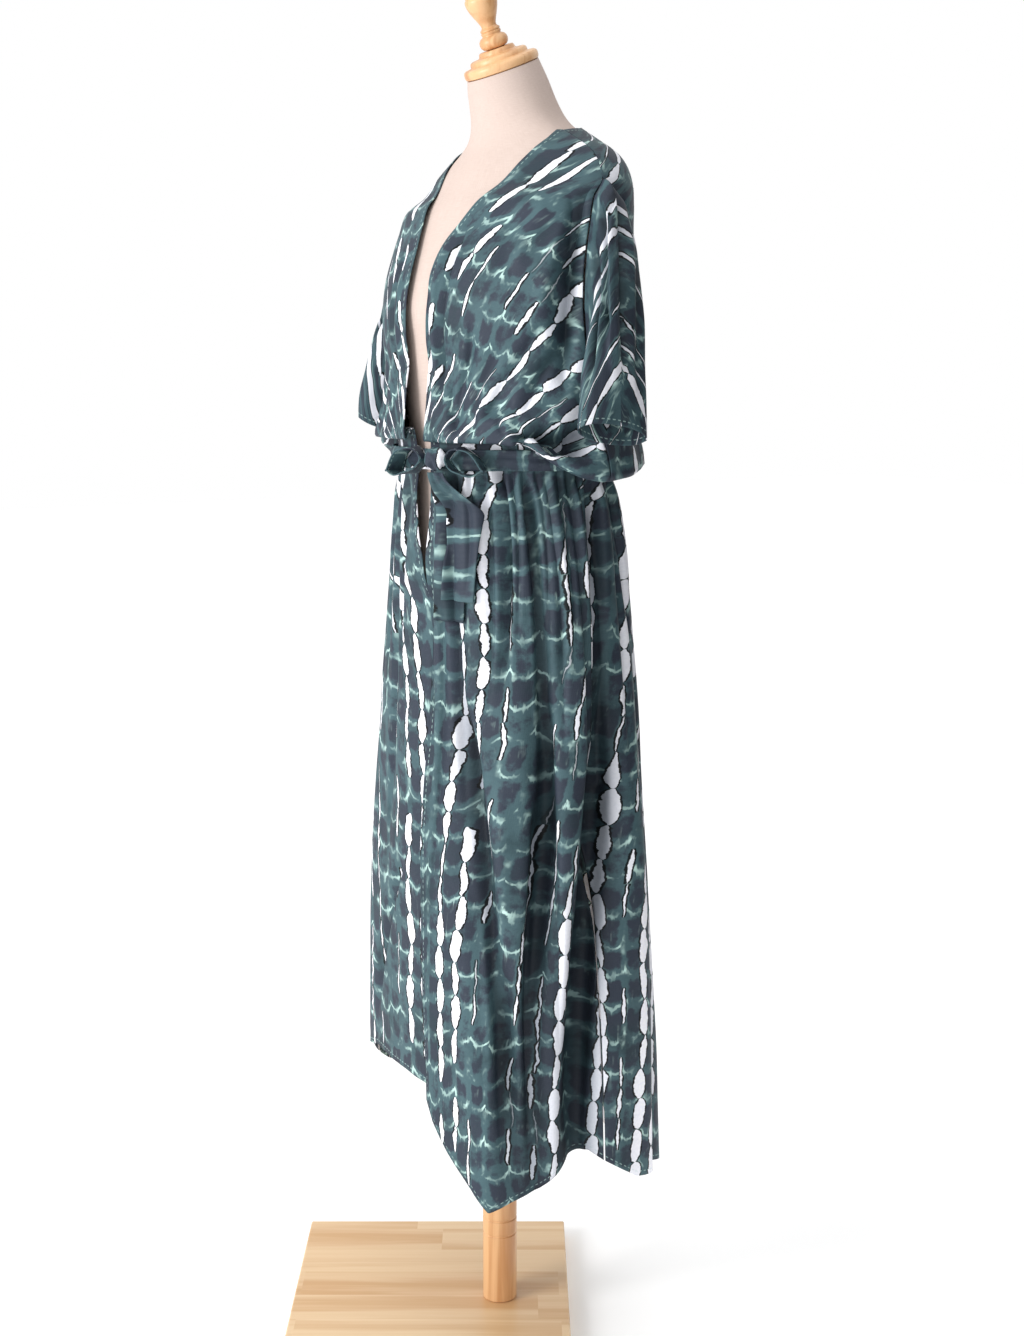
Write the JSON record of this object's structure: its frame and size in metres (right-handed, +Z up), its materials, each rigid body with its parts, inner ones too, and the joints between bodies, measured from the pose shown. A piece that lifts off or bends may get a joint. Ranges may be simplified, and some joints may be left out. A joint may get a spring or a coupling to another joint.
{
  "type": "kimono coat on a dress form",
  "caption": "Open-front tie-dyed kimono coat with short wide sleeves and a tied belt, worn by a limbless linen dress form on a round wooden pole and a flat wooden board",
  "frame": {"origin": "on the floor, on the underside of the board, under the axis of the pole", "axes": "+Z up, -Y the way the wearer faces, +X the wearer's left"},
  "size_m": [0.5874, 0.529, 1.6689],
  "materials": {
    "dyed_cloth": "teal and slate tie-dyed cotton with pale scallops and white resist spots, faint sheen",
    "form_linen": "cream linen, fine plain weave",
    "turned_wood": "turned pine, satin varnish",
    "board_wood": "jointed pine board, satin varnish"
  },
  "bodies": {
    "root": {"base_board": "board_wood", "pole": "turned_wood", "dress_form": "form_linen", "neck_cap": "turned_wood", "finial": "turned_wood", "back": "dyed_cloth", "front_left": "dyed_cloth", "front_right": "dyed_cloth", "sleeve_left": "dyed_cloth", "sleeve_right": "dyed_cloth", "belt": "dyed_cloth", "belt_knot": "dyed_cloth", "bow_loop_left": "dyed_cloth", "bow_loop_right": "dyed_cloth", "belt_tail_front": "dyed_cloth", "belt_tail_back": "dyed_cloth"}
  },
  "joints": []
}
